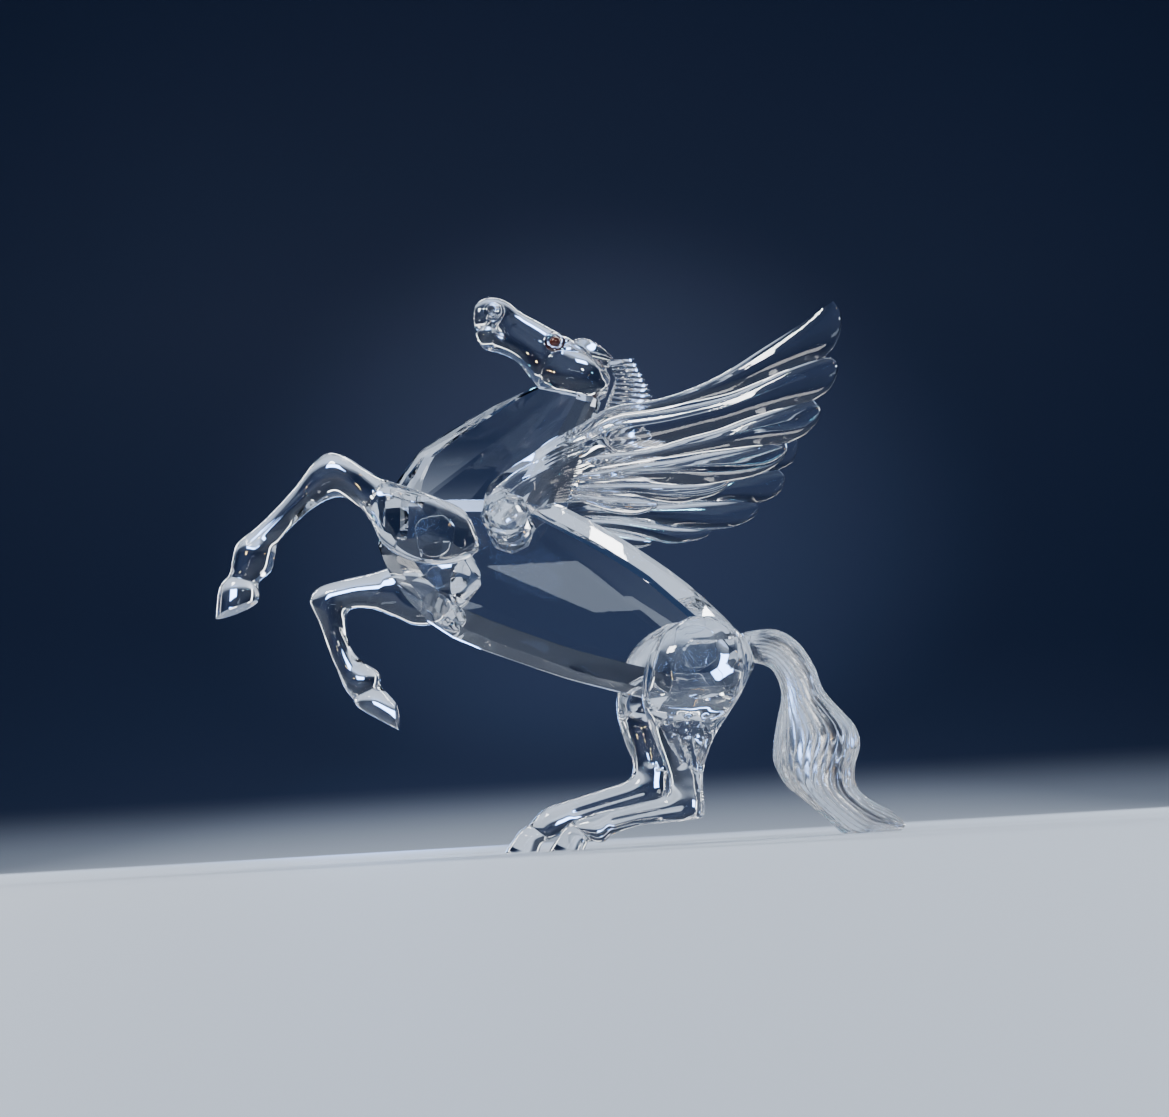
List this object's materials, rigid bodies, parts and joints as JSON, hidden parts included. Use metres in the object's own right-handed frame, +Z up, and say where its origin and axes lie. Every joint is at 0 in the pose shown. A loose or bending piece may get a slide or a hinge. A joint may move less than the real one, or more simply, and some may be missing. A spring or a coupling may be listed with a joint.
{
  "type": "crystal horse figurine",
  "caption": "Faceted clear crystal figurine of a rearing winged horse with a satin mane and tail, standing on its hind hooves and tail tip.",
  "frame": {"origin": "on the ground plane, midway between the ends and the sides of the object", "axes": "+X from the head end towards the tail, +Y towards the horse's right side, +Z up from the surface it stands on"},
  "size_m": [0.1397, 0.0652, 0.1208],
  "materials": {
    "clear_crystal": "polished brilliant clear crystal",
    "satin_crystal": "satin frosted crystal",
    "eye_crystal": "polished dark red-brown crystal",
    "clear_adhesive": "clear cured adhesive film"
  },
  "bodies": {
    "root": {"body": "clear_crystal", "neck": "clear_crystal", "head": "clear_crystal", "mane": "satin_crystal", "wing_left": "clear_crystal", "wing_right": "clear_crystal", "foreleg_left": "clear_crystal", "foreleg_right": "clear_crystal", "hindleg_left": "clear_crystal", "hindleg_right": "clear_crystal", "tail": "satin_crystal", "eye_left": "eye_crystal", "eye_right": "eye_crystal", "bond_neck": "clear_adhesive", "bond_mane": "clear_adhesive", "bond_legs": "clear_adhesive", "bond_wings": "clear_adhesive", "bond_tail": "clear_adhesive"}
  },
  "joints": []
}
